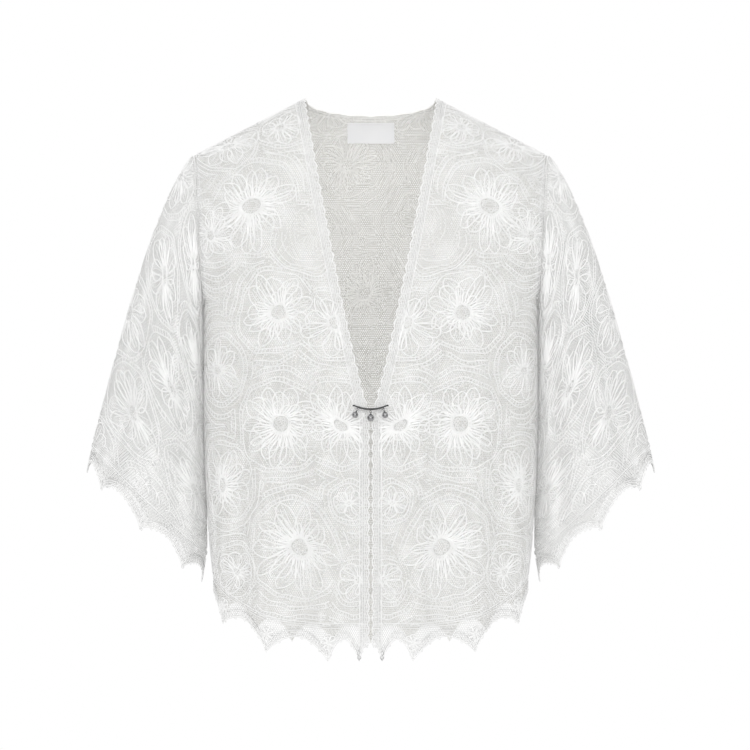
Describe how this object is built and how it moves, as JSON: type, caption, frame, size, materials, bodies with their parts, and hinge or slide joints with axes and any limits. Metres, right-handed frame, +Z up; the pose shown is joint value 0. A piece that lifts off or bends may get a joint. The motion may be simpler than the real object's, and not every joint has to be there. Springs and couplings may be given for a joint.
{
  "type": "lace kimono top",
  "caption": "White lace open-front top with wide hanging sleeves and scalloped hems, closed at the front by a dark curved bar brooch with three bead drops.",
  "frame": {"origin": "midway between the wearer's shoulders, at the height of the two neck points and on the shoulder line", "axes": "+Z up, the front faces -Y, +X toward the wearer's left"},
  "size_m": [0.6746, 0.2376, 0.6554],
  "materials": {
    "lace": "matte",
    "edging_lace": "matte",
    "seam_thread": "matte",
    "label_satin": "satin",
    "bar_black": "gloss",
    "pin_steel": "satin",
    "ring_metal": "polished",
    "bead_pearl": "gloss"
  },
  "bodies": {
    "garment": {"back_panel": "lace", "back_neck_trim": "edging_lace", "neck_label": "label_satin", "shoulder_seam_left": "seam_thread", "shoulder_seam_right": "seam_thread", "side_seam_left": "seam_thread", "side_seam_right": "seam_thread", "armhole_seam_left": "seam_thread", "armhole_seam_right": "seam_thread", "hem_trim_back": "edging_lace"},
    "front_left": {"front_panel_left": "lace", "front_trim_left": "edging_lace", "hem_trim_front_left": "edging_lace"},
    "front_right": {"front_panel_right": "lace", "front_trim_right": "edging_lace", "hem_trim_front_right": "edging_lace", "brooch_bar": "bar_black", "bar_tips": "bar_black", "bar_loops": "ring_metal", "hinge_post": "pin_steel", "catch_housing": "pin_steel"},
    "left_sleeve": {"sleeve_left": "lace", "cuff_trim_left": "edging_lace", "sleeve_seam_left": "seam_thread"},
    "right_sleeve": {"sleeve_right": "lace", "cuff_trim_right": "edging_lace", "sleeve_seam_right": "seam_thread"},
    "stem": {"pin_stem": "pin_steel"},
    "roller": {"catch_roller": "pin_steel"},
    "ring_right": {"jump_ring_right": "ring_metal"},
    "drop_right": {"bead_eye_right": "ring_metal", "bead_cap_right": "ring_metal", "bead_right": "bead_pearl"},
    "ring_middle": {"jump_ring_middle": "ring_metal"},
    "drop_middle": {"bead_eye_middle": "ring_metal", "bead_cap_middle": "ring_metal", "bead_middle": "bead_pearl"},
    "ring_left": {"jump_ring_left": "ring_metal"},
    "drop_left": {"bead_eye_left": "ring_metal", "bead_cap_left": "ring_metal", "bead_left": "bead_pearl"}
  },
  "joints": [
    {"name": "front_right_open", "type": "hinge", "parent": "garment", "child": "front_right", "pos_m": [-0.197, -0.04, -0.333], "axis": [0.0412, 0, -0.9992], "range_deg": [0, 12]},
    {"name": "front_left_open", "type": "hinge", "parent": "garment", "child": "front_left", "pos_m": [0.197, -0.04, -0.333], "axis": [0.0412, 0, 0.9992], "range_deg": [0, 12]},
    {"name": "sleeve_right_raise", "type": "hinge", "parent": "garment", "child": "right_sleeve", "pos_m": [-0.209, 0, -0.066], "axis": [0, 1, 0], "range_deg": [0, 40]},
    {"name": "sleeve_left_raise", "type": "hinge", "parent": "garment", "child": "left_sleeve", "pos_m": [0.209, 0, -0.066], "axis": [0, -1, 0], "range_deg": [0, 40]},
    {"name": "pin_open", "type": "hinge", "parent": "front_right", "child": "stem", "pos_m": [-0.0165, -0.1198, -0.36313], "axis": [0, -1, 0], "range_deg": [0, 70]},
    {"name": "catch_turn", "type": "hinge", "parent": "front_right", "child": "roller", "pos_m": [0.0165, -0.1198, -0.36313], "axis": [0.9287, 0, 0.3708], "range_deg": [0, 100]},
    {"name": "ring_sway_right", "type": "hinge", "parent": "front_right", "child": "ring_right", "pos_m": [-0.01499, -0.1234, -0.36555], "axis": [0, 1, 0], "range_deg": [-25, 25]},
    {"name": "bead_swing_right", "type": "hinge", "parent": "ring_right", "child": "drop_right", "pos_m": [-0.01592, -0.1234, -0.36787], "axis": [-0.9272, 0, 0.3746], "range_deg": [-8, 45]},
    {"name": "ring_sway_middle", "type": "hinge", "parent": "front_right", "child": "ring_middle", "pos_m": [0, -0.1234, -0.36805], "axis": [0, 1, 0], "range_deg": [-25, 25]},
    {"name": "bead_swing_middle", "type": "hinge", "parent": "ring_middle", "child": "drop_middle", "pos_m": [0, -0.1234, -0.37055], "axis": [-1, 0, 0], "range_deg": [-8, 45]},
    {"name": "ring_sway_left", "type": "hinge", "parent": "front_right", "child": "ring_left", "pos_m": [0.01497, -0.1234, -0.36556], "axis": [0, 1, 0], "range_deg": [-25, 25]},
    {"name": "bead_swing_left", "type": "hinge", "parent": "ring_left", "child": "drop_left", "pos_m": [0.01549, -0.1234, -0.36801], "axis": [-0.9781, 0, -0.2079], "range_deg": [-8, 45]}
  ],
  "couplings": [
    {"joint": "front_left_open", "follows": "front_right_open", "ratio": 1}
  ]
}
